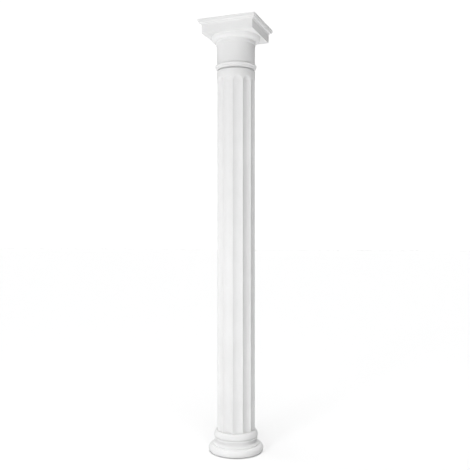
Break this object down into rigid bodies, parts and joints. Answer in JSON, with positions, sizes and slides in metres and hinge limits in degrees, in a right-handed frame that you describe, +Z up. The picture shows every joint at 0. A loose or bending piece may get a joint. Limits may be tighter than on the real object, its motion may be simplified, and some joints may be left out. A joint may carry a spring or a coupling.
{
  "type": "doric column",
  "caption": "Free-standing moulded column: a turned base, a fluted hollow shaft and a round-necked capital with a square moulded abacus, resting on one another.",
  "frame": {"origin": "middle of the base's underside, on the column's axis", "axes": "+Z up along the column's axis; X and Y square with the sides of the abacus"},
  "size_m": [0.338, 0.338, 2.4616],
  "materials": {
    "white_primer": "satin white primer on moulded rigid polyurethane"
  },
  "bodies": {
    "root": {"column_base": "white_primer", "fluted_shaft": "white_primer", "capital": "white_primer"}
  },
  "joints": []
}
